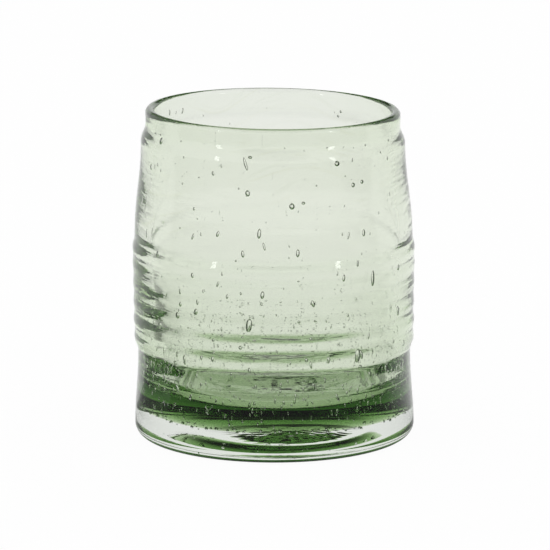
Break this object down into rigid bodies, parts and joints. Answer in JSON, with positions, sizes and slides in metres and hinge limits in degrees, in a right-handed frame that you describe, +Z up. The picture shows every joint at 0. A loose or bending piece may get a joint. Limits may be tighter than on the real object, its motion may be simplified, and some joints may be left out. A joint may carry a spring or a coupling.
{
  "type": "drinking glass",
  "caption": "Mouth-blown tumbler of seeded glass: green inner gather cased in clear, turned rings round the belt, drawn-in rim and thick clear heel.",
  "frame": {"origin": "centre of the foot, on the plane that the glass stands on", "axes": "+Z up along the axis of the glass; X and Y lie in the plane of the foot"},
  "size_m": [0.0864, 0.0864, 0.1012],
  "materials": {
    "clear_glass": "fire-polished clear glass with seeds and faint turning ripples",
    "green_glass": "pale bottle-green seeded glass, darker where it is thick"
  },
  "bodies": {
    "root": {"clear_casing": "clear_glass", "green_lining": "green_glass"}
  },
  "joints": []
}
